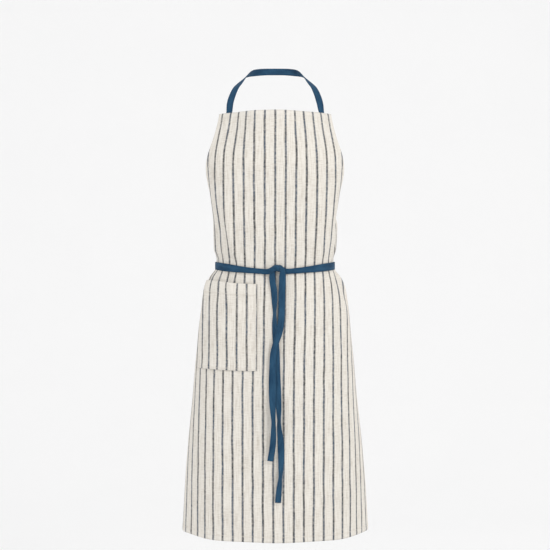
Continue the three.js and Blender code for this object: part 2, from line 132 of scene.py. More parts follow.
# Folds, as seen from the front: hand (-1 left, 1 right, 0 both), where it runs by the share of
# the way round to the back at its top and its foot, its top and foot heights, its half width and
# how far it stands out. Then the gathers that the ties squeeze up at each side.
FOLDS = [
    (0, 0.455, 0.465, -0.235, -0.415, 0.013, -0.016),
    (0, 0.375, 0.385, -0.250, -0.415, 0.010, 0.004),
    (-1, 0.246, 0.236, -0.290, -0.490, 0.0055, 0.0085),
    (-1, 0.320, 0.310, -0.370, -0.460, 0.010, 0.003),
    (1, 0.395, 0.400, -0.425, -0.500, 0.007, -0.007),
    (1, 0.300, 0.290, -0.370, -0.440, 0.010, 0.003),
    (-1, 0.360, 0.330, -0.430, -0.540, 0.012, 0.003),
]
GATHERS = 9
GATHER_WIDTH = 0.0062
GATHERS_FROM, GATHERS_TO = 0.40, 0.86
GATHER_FAN = 0.012              # how far the gathers lean apart, as a share of the way round
rng = np.random.default_rng(7)
for hand in (-1, 1):
    for i in range(GATHERS):
        middle = GATHERS_FROM + (GATHERS_TO - GATHERS_FROM) * i / (GATHERS - 1)
        middle += rng.uniform(-0.008, 0.008)
        up, down = rng.uniform(0.05, 0.13), rng.uniform(0.07, 0.17)
        deep = rng.uniform(0.0065, 0.0095)
        lean = GATHER_FAN * (i - GATHERS / 2) / GATHERS
        FOLDS.append((hand, middle - lean, middle + lean, TIE_SIDE + up, TIE_SIDE - down,
                      GATHER_WIDTH, deep))

# Soft waves across the bib: lift, distance from the middle stripe, width
BIB_WAVES = [
    (0.0038, -0.042, 0.020), (-0.0038, -0.092, 0.022), (0.0015, 0.024, 0.020),
    (-0.0015, 0.060, 0.022),
]
# Long waves down the skirt, the first at the sides and back, the second all round
SIDE_WAVE, SIDE_WAVE_TURNS = 0.010, 17.0
ROUND_WAVE, ROUND_WAVE_TURNS = 0.0022, 23.0


def fold_height(share, height, girth):
    """How far the folds lift the cloth off its plain section, at signed shares of the way round."""
    lift = np.zeros_like(share)
    for hand, top_share, foot_share, top, foot, width, deep in FOLDS:
        t = (top - height) / (top - foot)
        middle = top_share + (foot_share - top_share) * np.clip(t, 0.0, 1.0)
        fade = smooth(-0.25, 0.35, t) * smooth(1.25, 0.5, t)
        wide = width * (1.0 + 1.2 * abs(height - TIE_SIDE) / 0.1)
        side = np.abs(share) if hand == 0 else share * hand
        lift += deep * fade * bell(side * girth, middle * girth, wide)
    high = 1.0 - smooth(0.103, 0.260, -height)
    for deep, middle, width in BIB_WAVES:
        lift += deep * high * bell(share * girth, middle, width)
    low = smooth(0.520, 0.950, -height)
    at_side = smooth(0.40, 0.62, np.abs(share))
    lift += SIDE_WAVE * low * at_side * np.sin(share * SIDE_WAVE_TURNS + 0.6)
    lift += ROUND_WAVE * low * np.sin(share * ROUND_WAVE_TURNS + 1.1)
    return lift


STEPS_ROUND = 1400


def length_along(*axes):
    """The length of a line so far, at each of its points, from its x, its y and any z."""
    steps = np.sqrt(sum(np.diff(axis) ** 2 for axis in axes))
    return np.concatenate([[0.0], np.cumsum(steps)])


def plain_section(height):
    """The level section at one height, from the back middle right round, and its length so far."""
    half, front, back, square = (
        through(-SECTIONS[:, 0], SECTIONS[:, k], -height) for k in range(1, 5))
    angle = np.linspace(-math.pi, math.pi, STEPS_ROUND + 1)
    power = 2.0 / square
    depth = np.abs(np.cos(angle)) ** power * np.where(np.abs(angle) < math.pi / 2, -front, back)
    x = half * np.sign(np.sin(angle)) * np.abs(np.sin(angle)) ** power
    y = TRUNK_Y + depth
    return x, y, length_along(x, y)


# The tie presses the folds nearly flat where it lies on them, and they swell again beyond it
PRESSED_FOLD = 0.12
PRESSED_FROM, PRESSED_TO = 0.0085, 0.0300


def hung_row(height, across):
    """Points of the cloth at one height, for distances across the flat cut."""
    x, y, base = plain_section(height)
    girth = base[-1] / 2.0
    even = np.linspace(0.0, base[-1], STEPS_ROUND + 1)
    x, y = np.interp(even, base, x), np.interp(even, base, y)
    share = even / girth - 1.0
    run_x, run_y = np.gradient(x), np.gradient(y)
    run = np.hypot(run_x, run_y)
    lift = fold_height(share, height, girth)
    out_x, out_y = run_y / run, -run_x / run
    along = length_along(x + lift * out_x, y + lift * out_y)
    along -= along[STEPS_ROUND // 2]
    place = np.clip(across, along[0], along[-1])
    off_tie = np.abs(height - tie_height(np.abs(share)))
    pressed = PRESSED_FOLD + (1.0 - PRESSED_FOLD) * smooth(PRESSED_FROM, PRESSED_TO, off_tie)
    x, y = x + lift * pressed * out_x, y + lift * pressed * out_y
    return np.interp(place, along, x), np.interp(place, along, y)


# The flat cut as a grid. Its rows follow the armholes' curve, and its columns crowd a little
# towards the side edges.
PANEL_COLUMNS = 221
BIB_PANEL_ROWS = 66
SKIRT_PANEL_ROWS = 134
COLUMN_CROWDING = 0.10

bib_turn = np.linspace(0.0, math.pi / 2, BIB_PANEL_ROWS, endpoint=False)
row_drop = np.concatenate([
    ARMHOLE_DROP * np.sin(bib_turn) ** (2 / ARMHOLE_POWER),
    np.linspace(ARMHOLE_DROP, PANEL_LENGTH, SKIRT_PANEL_ROWS)])
column_turn = np.linspace(-1.0, 1.0, PANEL_COLUMNS)
column_share = column_turn * (1.0 + COLUMN_CROWDING * (1.0 - np.abs(column_turn)))
row_half = HALF_CUT - (HALF_CUT - HALF_BIB) * np.concatenate([
    np.cos(bib_turn) ** (2 / ARMHOLE_POWER), np.zeros(SKIRT_PANEL_ROWS)])

cut_across = row_half[:, None] * column_share[None, :]
cut_down = np.repeat(row_drop[:, None], PANEL_COLUMNS, axis=1)

DRAWN_UP = 0.006                # how far the ties draw the cloth up at the sides
CORNER_RISE = 0.003             # how far the hem's corners round up


def hang(across, down):
    """Points of the worn panel, for places on the flat cut."""
    points = np.zeros(across.shape + (3,))
    for r in range(across.shape[0]):
        height = BIB_TOP - down[r, 0]
        points[r, :, 0], points[r, :, 1] = hung_row(height, across[r])
        points[r, :, 2] = height
    rise = DRAWN_UP * smooth(0.05, 0.17, np.abs(across)) * bell(down, 0.36, 0.16)
    rise += CORNER_RISE * smooth(0.12, 0.2, np.abs(across)) * smooth(0.8, PANEL_LENGTH, down)
    points[..., 0] += SWAY * smooth(0.36, 0.60, down)
    points[..., 2] += rise
    return points


def grid_normals(points):
    across = np.gradient(points, axis=1)
    down = np.gradient(points, axis=0)
    normal = np.cross(down, across)
    normal /= np.linalg.norm(normal, axis=-1, keepdims=True) + 1e-12
    return normal


def edge_distance(across, down):
    """Distance on the flat cut from a place to the panel's nearest finished edge."""
    half = cut_half_width(down)
    drops = np.linspace(0, ARMHOLE_DROP, 601)
    slope = np.clip(np.gradient(cut_half_width(drops), drops), 0, 6)
    lean = np.where(down < ARMHOLE_DROP, np.interp(down, drops, slope), 0)
    side = (half - np.abs(across)) / np.sqrt(1.0 + lean ** 2)
    over = np.where(np.abs(across) > HALF_BIB + 0.004, 1.0, down)
    return np.minimum(np.minimum(side, over), PANEL_LENGTH - down)


panel_points = hang(cut_across, cut_down)
panel_normals = grid_normals(panel_points)
panel_edge = edge_distance(cut_across, cut_down)


def sheet_mesh(name, outer, inner, layers):
    """A closed sheet from two like grids of points, with named point attributes on both faces."""
    rows, columns = outer.shape[:2]
    count = rows * columns
    index = np.arange(count).reshape(rows, columns)
    a, b = index[:-1, :-1].ravel(), index[1:, :-1].ravel()
    c, d = index[1:, 1:].ravel(), index[:-1, 1:].ravel()
    faces = [np.stack([a, b, c, d], 1), np.stack([a, d, c, b], 1) + count]
    rim = np.concatenate([index[0, :-1], index[:-1, -1], index[-1, :0:-1], index[:0:-1, 0]])
    after = np.roll(rim, -1)
    faces.append(np.stack([rim, after, after + count, rim + count], 1))
    faces = np.concatenate(faces)
    mesh = bpy.data.meshes.new(name)
    points = np.concatenate([outer.reshape(-1, 3), inner.reshape(-1, 3)])
    mesh.from_pydata(points.tolist(), [], faces.tolist())
    for layer, values in layers.items():
        both = np.concatenate([values.reshape(count, -1)] * 2).astype(np.float32)
        kind = "FLOAT_VECTOR" if both.shape[1] == 3 else "FLOAT"
        attribute = mesh.attributes.new(layer, kind, "POINT")
        attribute.data.foreach_set("vector" if kind == "FLOAT_VECTOR" else "value", both.ravel())
    mesh.polygons.foreach_set("use_smooth", np.ones(len(mesh.polygons), bool))
    mesh.update()
    piece = bpy.data.objects.new(name, mesh)
    bpy.context.collection.objects.link(piece)
    return piece


def fit(piece, node, body="apron"):
    """Place a finished piece on its body, in the stead of its node."""
    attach(piece, body)
    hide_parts(node)


# The hems are thicker than the cloth, dip at their stitching and round over at their edge
HEM_OUT, HEM_IN = 0.0002, 0.0010
STITCH_DIP, EDGE_ROUNDING = 0.0003, 0.0005
hem_layers = 1.0 - smooth(HEM_FOLD, HEM_FOLD + 0.0025, panel_edge)
stitch_dip = STITCH_DIP * bell(panel_edge, HEM_FOLD - 0.001, 0.002)
round_over = EDGE_ROUNDING * (1.0 - smooth(0.0, 0.0015, panel_edge))
outer = panel_points + panel_normals * (HEM_OUT * hem_layers - stitch_dip - round_over)[..., None]
inner = panel_points - panel_normals * (CLOTH + HEM_IN * hem_layers - round_over)[..., None]
# The stripes run a little off the straight grain, and the cloth is eased over the bust
OFF_GRAIN, BUST_EASE = 0.0030, 0.022
off_grain = OFF_GRAIN * (1.0 - smooth(0.25, 0.60, cut_down))
eased = 1.0 + BUST_EASE * bell(cut_down, 0.10, 0.10)
cut = np.stack([cut_across / eased - off_grain, cut_down, np.zeros_like(cut_down)], -1)
body_panel = sheet_mesh("body_panel_cloth", outer, inner, {"cut": cut, "edge": panel_edge})
fit(body_panel, "body_panel")


def on_panel(across, down, lift=0.0):
    """Points lifted off the hung panel, and the way out there, for places on the flat cut."""
    across, down = np.broadcast_arrays(np.asarray(across, float), np.asarray(down, float))
    row = np.interp(down, row_drop, np.arange(len(row_drop)))
    half = np.interp(down, row_drop, row_half)
    column = np.interp(across / half, column_share, np.arange(PANEL_COLUMNS))
    r = np.clip(row.astype(int), 0, len(row_drop) - 2)
    c = np.clip(column.astype(int), 0, PANEL_COLUMNS - 2)
    fr, fc = (row - r)[..., None], (column - c)[..., None]

    def blend_of(grid):
        top = grid[r, c] * (1 - fc) + grid[r, c + 1] * fc
        foot = grid[r + 1, c] * (1 - fc) + grid[r + 1, c + 1] * fc
        return top * (1 - fr) + foot * fr

    way = blend_of(panel_normals)
    way /= np.linalg.norm(way, axis=-1, keepdims=True)
    return blend_of(panel_points) + way * np.asarray(lift, float)[..., None], way


class Value:
    """A shader socket that takes part in Python sums, each of which adds its Math node."""

    def __init__(self, tree, socket):
        self.tree, self.socket = tree, socket

    def math(self, operation, *others, clamp=False):
        node = self.tree.nodes.new("ShaderNodeMath")
        node.operation, node.use_clamp = operation, clamp
        for place, item in enumerate((self,) + others):
            if isinstance(item, Value):
                self.tree.links.new(item.socket, node.inputs[place])
            else:
                node.inputs[place].default_value = item
        return Value(self.tree, node.outputs[0])

    def __add__(self, other):
        return self.math("ADD", other)

    def __sub__(self, other):
        return self.math("SUBTRACT", other)

    def __rsub__(self, other):
        return (self * -1.0).math("ADD", other)

    def __mul__(self, other):
        return self.math("MULTIPLY", other)

    def __truediv__(self, other):
        return self.math("DIVIDE", other)

    __radd__ = __add__
    __rmul__ = __mul__

    def between(self, low, high):
        """0 below low, 1 above high, smooth between them."""
        node = self.tree.nodes.new("ShaderNodeMapRange")
        node.interpolation_type = "SMOOTHSTEP"
        self.tree.links.new(self.socket, node.inputs["Value"])
        node.inputs["From Min"].default_value = low
        node.inputs["From Max"].default_value = high
        return Value(self.tree, node.outputs["Result"])

    def wave(self, pitch):
        return (self * (2 * math.pi / pitch)).math("SINE")


class Finish:
    """A material under construction: node() adds any node, and done() feeds the shader."""

    def __init__(self, name, **constants):
        self.material = bpy.data.materials.new(name)
        self.material.use_nodes = True
        self.tree = self.material.node_tree
        self.shader = self.tree.nodes["Principled BSDF"]
        for socket, value in constants.items():
            self.shader.inputs[socket.replace("_", " ")].default_value = value

    def node(self, kind, settings=None, output=0, **inputs):
        node = self.tree.nodes.new(kind)
        for key, value in (settings or {}).items():
            setattr(node, key, value)
        for key, value in inputs.items():
            socket = node.inputs[int(key[1:])] if key[0] == "i" and key[1:].isdigit() else \
                node.inputs[key.replace("_", " ")]
            if isinstance(value, Value):
                self.tree.links.new(value.socket, socket)
            else:
                socket.default_value = value
        return Value(self.tree, node.outputs[output])

    def attribute(self, name, output):
        return self.node("ShaderNodeAttribute", {"attribute_name": name}, output=output)

    def split(self, vector):
        node = self.tree.nodes.new("ShaderNodeSeparateXYZ")
        self.tree.links.new(vector.socket, node.inputs[0])
        return [Value(self.tree, out) for out in node.outputs]

    def join(self, x, y, z=0.0):
        return self.node("ShaderNodeCombineXYZ", X=x, Y=y, Z=z)

    def noise(self, vector, scale, detail=2.0, roughness=0.5):
        return self.node("ShaderNodeTexNoise", Vector=vector, Scale=scale, Detail=detail,
                         Roughness=roughness)

    def mix(self, factor, a, b, blend="MIX"):
        return self.node("ShaderNodeMix", {"data_type": "RGBA", "blend_type": blend}, output=2,
                         i0=factor, i6=a, i7=b)

    def bump(self, height, distance, strength=1.0, normal=None):
        extra = {} if normal is None else {"Normal": normal}
        return self.node("ShaderNodeBump", Height=height, Distance=distance, Strength=strength,
                         **extra)

    def done(self, **links):
        for socket, value in links.items():
            self.tree.links.new(value.socket, self.shader.inputs[socket.replace("_", " ")])
        return self.material


STRIPE_PITCH = 0.0207
PANEL_STRIPE_SHIFT = -0.0026
THREAD_PITCH = 0.0011           # of the weave
CREAM = (0.765, 0.730, 0.670, 1.0)
CREAM_DARK = (0.555, 0.505, 0.440, 1.0)
SLATE = (0.035, 0.060, 0.100, 1.0)
SLATE_BLACK = (0.022, 0.026, 0.034, 1.0)


def striped_cloth(name, shift):
    """Cream plain weave with thin slate stripes. shift is where a stripe runs across the cut."""
    f = Finish(name, Sheen_Weight=0.12, Sheen_Roughness=0.6, Specular_IOR_Level=0.2)
    place = f.attribute("cut", 1)
    across, down, _ = f.split(place)
    edge = f.attribute("edge", 2)
    # threads are not even: long thin slubs each way
    warp = f.noise(f.join(across * 620.0, down * 26.0), 1.0, 3.0)
    weft = f.noise(f.join(across * 75.0, down * 620.0), 1.0, 3.0)
    cloud = f.noise(f.join(across * 22.0, down * 14.0), 1.0, 3.0)
    fleck = f.noise(f.join(across * 420.0, down * 130.0), 1.0, 1.0).between(0.66, 0.78)
    wander = (f.noise(f.join(across * 30.0, down * 17.0), 1.0, 2.0) - 0.5) * 0.0034
    beside = ((across + (wander - shift)) / STRIPE_PITCH + 0.5).math("FRACT") - 0.5
    off = beside.math("ABSOLUTE") * STRIPE_PITCH
    ragged = (f.noise(f.join(across * 700.0, down * 300.0), 1.0, 2.0) - 0.5) * 0.0018
    stripe = 1.0 - (off + ragged).between(0.0012, 0.0030)
    strength = f.noise(f.join(across * 60.0, down * 170.0), 1.0, 3.0) * 0.85 + 0.40
    crossing = (down.wave(0.0013) * across.wave(THREAD_PITCH)) * 0.12
    dark = (stripe * (strength + crossing)).math("MINIMUM", 0.96)
    yarn = f.noise(f.join(across * 240.0, down * 16.0), 1.0, 2.0).between(0.40, 0.60)
    slate = f.mix(yarn, SLATE, SLATE_BLACK)
    tone = (cloud - 0.5) * 0.35 + (warp - 0.5) * 2.4 + (weft - 0.5) * 1.7 + fleck * 0.30
    cream = f.mix((tone + 0.24).math("ADD", 0.0, clamp=True), CREAM, CREAM_DARK)
    folded = 1.0 - edge.between(HEM_FOLD, HEM_FOLD + 0.0015)
    cream = f.mix(folded * 0.35, cream, CREAM)
    # painted shade: the cream is darkened in a narrow band along each stitch line, where the cloth
    # dips; the same band sets where the cloth puckers
    stitch_shade_band = (1.0 - (edge - HEM_FOLD).math("ABSOLUTE").between(0.0002, 0.0024)) * 0.07
    cream = f.mix(stitch_shade_band, cream, CREAM_DARK)
    colour = f.mix(dark, cream, slate)
    weave = (across.wave(THREAD_PITCH) * down.wave(THREAD_PITCH)) * 0.25 + (warp + weft) * 0.5
    pucker = f.noise(f.join(across * 90.0, down * 90.0), 1.0, 2.0) * stitch_shade_band * 12.0
    fine = f.bump(weave, 0.00022, 0.55)
    creases = f.bump(cloud + pucker, 0.0022, 0.55, normal=fine)
    rough = 0.86 + weft * 0.10
    return f.done(Base_Color=colour, Roughness=rough, Normal=creases)


body_panel.data.materials.append(striped_cloth("striped_cloth_panel", PANEL_STRIPE_SHIFT))

# Hem stitching: one row of cream lockstitch along each turned edge of the panel, 11 mm in and
# 22 mm in at the top of the bib. Each stitch is a short bent peg of thread, one every 3 mm.
STITCH_PITCH = 0.0030
THREAD_LIFT = 0.0002
BIB_HEM = 0.022


def sewing_thread(name, colour, dark):
    f = Finish(name, Sheen_Weight=0.15, Specular_IOR_Level=0.3)
    place = f.node("ShaderNodeTexCoord", output=3)
    x, y, z = f.split(place)
    ply = ((x + y + z) * 5200.0).math("SINE") * 0.5 + 0.5
    speck = f.noise(place, 900.0, 2.0)
    return f.done(Base_Color=f.mix(ply * 0.5 + speck * 0.4, colour, dark),
                  Roughness=0.62 + speck * 0.2, Normal=f.bump(ply, 0.0001, 0.6))


cream_thread = sewing_thread("cream_thread", (0.86, 0.82, 0.745, 1), (0.70, 0.65, 0.56, 1))


def stitch_peg(length, thick, name):
    """One stitch lying along +X with its two ends dipping into the cloth."""
    rings, sides = 7, 6
    points, faces = [], []
    for i in range(rings):
        t = i / (rings - 1)
        fat = thick * (0.35 + 0.65 * math.sin(math.pi * (0.08 + 0.84 * t)))
        up = thick * 1.5 * math.sin(math.pi * t) - thick * 0.9
        for k in range(sides):
            turn = 2 * math.pi * k / sides
            points.append((length * (t - 0.5), fat * math.cos(turn), up + fat * math.sin(turn)))
    for i in range(rings - 1):
        for k in range(sides):
            here, right = i * sides + k, i * sides + (k + 1) % sides
            faces.append((here, right, right + sides, here + sides))
    faces.append(tuple(range(sides))[::-1])
    faces.append(tuple((rings - 1) * sides + k for k in range(sides)))
    mesh = bpy.data.meshes.new(name)
    mesh.from_pydata(points, [], faces)
    mesh.polygons.foreach_set("use_smooth", np.ones(len(faces), bool))
    mesh.update()
    peg = bpy.data.objects.new(name, mesh)
    bpy.context.collection.objects.link(peg)
    return peg


def stitch_tree():
    """Stitches along a path: even spacing, each turned along the path and out of the cloth."""
    tree = bpy.data.node_groups.new("stitch_row", "GeometryNodeTree")
    face = tree.interface
    face.new_socket("Path", in_out="INPUT", socket_type="NodeSocketGeometry")
    face.new_socket("Pitch", in_out="INPUT", socket_type="NodeSocketFloat")
    face.new_socket("Stitch", in_out="INPUT", socket_type="NodeSocketObject")
    face.new_socket("Thread", in_out="INPUT", socket_type="NodeSocketMaterial")
    face.new_socket("Unevenness", in_out="INPUT", socket_type="NodeSocketFloat")
    face.new_socket("Geometry", in_out="OUTPUT", socket_type="NodeSocketGeometry")
    new, link = tree.nodes.new, tree.links.new
    given, result = new("NodeGroupInput"), new("NodeGroupOutput")
    curve = new("GeometryNodeMeshToCurve")
    spaced = new("GeometryNodeResampleCurve")
    spaced.mode = "LENGTH"
    out = new("GeometryNodeInputNamedAttribute")
    out.data_type = "FLOAT_VECTOR"
    out.inputs["Name"].default_value = "out"
    along = new("GeometryNodeInputTangent")
    turn = new("FunctionNodeAxesToRotation")
    turn.primary_axis, turn.secondary_axis = "Z", "X"
    place = new("GeometryNodeInstanceOnPoints")
    thing = new("GeometryNodeObjectInfo")
    size = new("FunctionNodeRandomValue")
    size.data_type = "FLOAT"
    low = new("ShaderNodeMath")
    low.operation = "SUBTRACT"
    low.inputs[0].default_value = 1.0
    real, coat = new("GeometryNodeRealizeInstances"), new("GeometryNodeSetMaterial")
    link(given.outputs["Path"], curve.inputs["Mesh"])
    link(curve.outputs["Curve"], spaced.inputs["Curve"])
    link(given.outputs["Pitch"], spaced.inputs["Length"])
    link(spaced.outputs["Curve"], place.inputs["Points"])
    link(given.outputs["Stitch"], thing.inputs["Object"])
    link(thing.outputs["Geometry"], place.inputs["Instance"])
    link(out.outputs["Attribute"], turn.inputs["Primary Axis"])
    link(along.outputs["Tangent"], turn.inputs["Secondary Axis"])
    link(turn.outputs["Rotation"], place.inputs["Rotation"])
    link(given.outputs["Unevenness"], low.inputs[1])
    link(low.outputs[0], size.inputs[2])
    size.inputs[3].default_value = 1.0
    size.inputs["Seed"].default_value = 5
    link(size.outputs[1], place.inputs["Scale"])
    link(place.outputs["Instances"], real.inputs["Geometry"])
    link(real.outputs["Geometry"], coat.inputs["Geometry"])
    link(given.outputs["Thread"], coat.inputs["Material"])
    link(coat.outputs["Geometry"], result.inputs["Geometry"])
    return tree


STITCH_TREE = stitch_tree()
long_stitch = stitch_peg(0.0026, 0.00032, "long_stitch")


def stitch_row(name, points, ways, thread, pitch=STITCH_PITCH, peg=long_stitch):
    """A row of stitches along points, each point with the way out of the cloth."""
    path = bpy.data.meshes.new(name + "_path")
    path.from_pydata(points.tolist(), [(i, i + 1) for i in range(len(points) - 1)], [])
    attribute = path.attributes.new("out", "FLOAT_VECTOR", "POINT")
    attribute.data.foreach_set("vector", ways.astype(np.float32).ravel())
    holder = bpy.data.objects.new(name, path)
    bpy.context.collection.objects.link(holder)
    modifier = holder.modifiers.new("stitches", "NODES")
    modifier.node_group = STITCH_TREE
    values = {"Pitch": pitch, "Stitch": peg, "Thread": thread, "Unevenness": 0.12}
    for item in STITCH_TREE.interface.items_tree:
        if item.in_out == "INPUT" and item.name in values:
            modifier[item.identifier] = values[item.name]
    bpy.context.view_layer.update()
    evaluated = holder.evaluated_get(bpy.context.evaluated_depsgraph_get())
    mesh = bpy.data.meshes.new_from_object(evaluated)
    holder.modifiers.clear()
    holder.data = mesh
    bpy.data.meshes.remove(path)
    return holder


def panel_seam(name, node, across, down):
    points, ways = on_panel(across, down, THREAD_LIFT)
    fit(stitch_row(name, points, ways, cream_thread), node)


reach = np.linspace(-1.0, 1.0, 241)
panel_seam("bib_top_stitching", "bib_top_seam", reach * (HALF_BIB - HEM_FOLD), BIB_HEM)
panel_seam("bottom_hem_stitching", "bottom_hem_seam", reach * (HALF_CUT - 0.002),
           PANEL_LENGTH - HEM_FOLD)
armhole_turn = np.linspace(0.055, 1.50, 160)
armhole_drop = ARMHOLE_DROP * np.sin(armhole_turn) ** (2 / ARMHOLE_POWER)
armhole_half = HALF_CUT - (HALF_CUT - HALF_BIB) * np.cos(armhole_turn) ** (2 / ARMHOLE_POWER)
way_drop, way_half = np.gradient(armhole_drop), np.gradient(armhole_half)
way_long = np.hypot(way_drop, way_half)
armhole_in = armhole_half - HEM_FOLD * way_drop / way_long
armhole_low = armhole_drop + HEM_FOLD * way_half / way_long
side_down = np.linspace(ARMHOLE_DROP + 0.002, PANEL_LENGTH - 0.002, 200)
for side, hand in (("left", -1), ("right", 1)):
    panel_seam(f"armhole_stitching_{side}", f"armhole_seam_{side}", hand * armhole_in, armhole_low)
    panel_seam(f"side_stitching_{side}", f"side_seam_{side}", hand * (HALF_CUT - HEM_FOLD),
               side_down)

# Patch pocket: a piece of the same cloth with a hemmed mouth that gapes a little. Its other edges
# are turned under and sewn to the panel, 4 mm in, with a bar tack at each end of the mouth. Its
# stripes don't meet the panel's.
POCKET_IN, POCKET_OUT = 0.036, 0.186
POCKET_TOP, POCKET_FOOT = 0.353, 0.527
POCKET_SEAM, POCKET_MOUTH = 0.004, 0.022
POCKET_GAPE = 0.006
POCKET_HEM = 0.0006
POCKET_STRIPE_SHIFT = PANEL_STRIPE_SHIFT + 0.0087
pocket_wide, pocket_high = POCKET_OUT - POCKET_IN, POCKET_FOOT - POCKET_TOP


def pocket_gape(wide, down):
    stand = np.sin(math.pi * np.clip(wide, 0, 1)) ** 0.8 * (1.0 - np.clip(down, 0, 1)) ** 1.1
    return 0.0006 + POCKET_GAPE * stand


def on_pocket(wide, down, lift=0.0):
    gape = pocket_gape(wide, down)
    return on_panel(-(POCKET_IN + pocket_wide * wide), POCKET_TOP + pocket_high * down,
                    gape + CLOTH + lift)


wide, down = np.meshgrid(np.linspace(0, 1, 76), np.linspace(0, 1, 88))
pocket_edge = np.minimum(np.minimum(wide, 1 - wide) * pocket_wide, (1 - down) * pocket_high)
turned = 1.0 - smooth(0.007, 0.009, pocket_edge)
mouth_hem = 1.0 - smooth(POCKET_MOUTH, POCKET_MOUTH + 0.002, down * pocket_high)
any_edge = np.minimum(pocket_edge, down * pocket_high)
round_over = 0.0004 * (1.0 - smooth(0.0, 0.0016, any_edge))
dip = bell(pocket_edge, POCKET_SEAM, 0.0018) + bell(down * pocket_high, POCKET_MOUTH, 0.002)
lift = POCKET_HEM * np.maximum(turned, mouth_hem) - round_over - 0.00025 * dip
pocket_outer, _ = on_pocket(wide, down, lift + CLOTH)
pocket_inner, _ = on_pocket(wide, down, round_over)
mouth_or_edge = np.minimum(pocket_edge - POCKET_SEAM, down * pocket_high - POCKET_MOUTH)
pocket_cut = np.stack([-(POCKET_IN + pocket_wide * wide), down * pocket_high + 0.7,
                       np.zeros_like(wide)], -1)
pocket = sheet_mesh("pocket_cloth", pocket_outer[:, ::-1], pocket_inner[:, ::-1],
                    {"cut": pocket_cut[:, ::-1], "edge": (mouth_or_edge + HEM_FOLD)[:, ::-1]})
fit(pocket, "pocket")
pocket.data.materials.append(striped_cloth("striped_cloth_pocket", POCKET_STRIPE_SHIFT))


def pocket_seam(name, node, wide, down, proud=0.0, **stitches):
    points, ways = on_pocket(wide, down, CLOTH + POCKET_HEM + proud)
    fit(stitch_row(name, points, ways, cream_thread, **stitches), node)


across_in = POCKET_SEAM / pocket_wide
foot_in = 1.0 - POCKET_SEAM / pocket_high
edge_run = np.linspace(0.012, foot_in, 90)
foot_run = np.linspace(across_in, 1 - across_in, 80)
seam_wide = np.concatenate([np.full(90, across_in), foot_run[1:-1], np.full(90, 1 - across_in)])
seam_down = np.concatenate([edge_run, np.full(78, foot_in), edge_run[::-1]])
pocket_seam("pocket_stitching", "pocket_seam", seam_wide, seam_down)
pocket_seam("pocket_mouth_stitching", "pocket_mouth_seam", np.linspace(0.012, 0.988, 90),
            np.full(90, POCKET_MOUTH / pocket_high))
tack_stitch = stitch_peg(0.0024, 0.00035, "tack_stitch")
for name, middle in (("inner", across_in), ("outer", 1 - across_in)):
    pocket_seam(f"bar_tack_stitching_{name}", f"bar_tack_{name}",
                np.linspace(middle - 0.022, middle + 0.022, 8), np.full(8, 0.010),
                proud=THREAD_LIFT, pitch=0.0005, peg=tack_stitch)


# Neck strap: one dark blue cotton twill tape, folded to 16 mm and edge-stitched. It is sewn behind
# both top corners of the bib with a box of stitches, and lies round the back of the neck.
TAPE_HALF = 0.008
TAPE_THICK = 0.0006
TAPE_STEP = 0.0022
FACE_POINTS = 11


def path_through(stops, step=TAPE_STEP):
    """Evenly spaced rows along a smooth curve through rows of x, y, z and any other values."""
    stops = np.asarray(stops, float)
    chord = length_along(*stops[:, :3].T)
    fine = np.linspace(0.0, chord[-1], 4000)
    dense = np.stack([through(chord, stops[:, k], fine) for k in range(stops.shape[1])], 1)
    run = length_along(*dense[:, :3].T)
    even = np.linspace(0.0, run[-1], max(int(run[-1] / step), 4) + 1)
    return np.stack([np.interp(even, run, dense[:, k]) for k in range(dense.shape[1])], 1), run[-1]


def tape_piece(name, rows):
    """A tape along rows of x, y, z, way out (3), half width, half thickness and bunching 0 to 1.

    Where a tape is knotted it bunches up into a rounder strand, with creases along it.
    """
    centre, out, half, thick, bunch = (
        rows[:, :3], rows[:, 3:6], rows[:, 6], rows[:, 7], np.clip(rows[:, 8], 0, 1))
    along = np.gradient(centre, axis=0)
    along /= np.linalg.norm(along, axis=1, keepdims=True)
    across = np.cross(out, along)
    across /= np.linalg.norm(across, axis=1, keepdims=True)
    out = np.cross(along, across)
    u = np.sin(np.linspace(-math.pi / 2, math.pi / 2, FACE_POINTS))
    round_power = (12.0 * (1 - bunch) + 2.0 * bunch)[:, None]
    rise = np.sqrt(np.clip(1.0 - np.abs(u)[None] ** round_power, 0, 1)) * thick[:, None]
    crease = np.cos(u * 3.2 * math.pi + 0.6)[None] * (1 - u**2)[None] * bunch[:, None]
    top = rise + 0.00065 * crease
    foot = -rise + 0.0005 * crease
    ring_u = np.concatenate([u, u[-2:0:-1]])
    ring_up = np.concatenate([top, foot[:, -2:0:-1]], axis=1)
    points = (centre[:, None] + across[:, None] * (ring_u[None] * half[:, None])[..., None]
              + out[:, None] * ring_up[..., None])
    length = length_along(*centre.T)
    cut = np.stack(np.broadcast_arrays(ring_u[None] * TAPE_HALF, length[:, None], 0.0), -1)
    count, ring = points.shape[:2]
    index = np.arange(count * ring).reshape(count, ring)
    turned = np.roll(index, -1, axis=1)
    faces = np.stack([index[:-1], turned[:-1], turned[1:], index[1:]], -1).reshape(-1, 4).tolist()
    faces += [index[0, ::-1].tolist(), index[-1].tolist()]
    mesh = bpy.data.meshes.new(name)
    mesh.from_pydata(points.reshape(-1, 3).tolist(), [], faces)
    attribute = mesh.attributes.new("cut", "FLOAT_VECTOR", "POINT")
    attribute.data.foreach_set("vector", cut.astype(np.float32).ravel())
    mesh.polygons.foreach_set("use_smooth", np.ones(len(faces), bool))
    mesh.update()
    piece = bpy.data.objects.new(name, mesh)
    bpy.context.collection.objects.link(piece)
    return piece


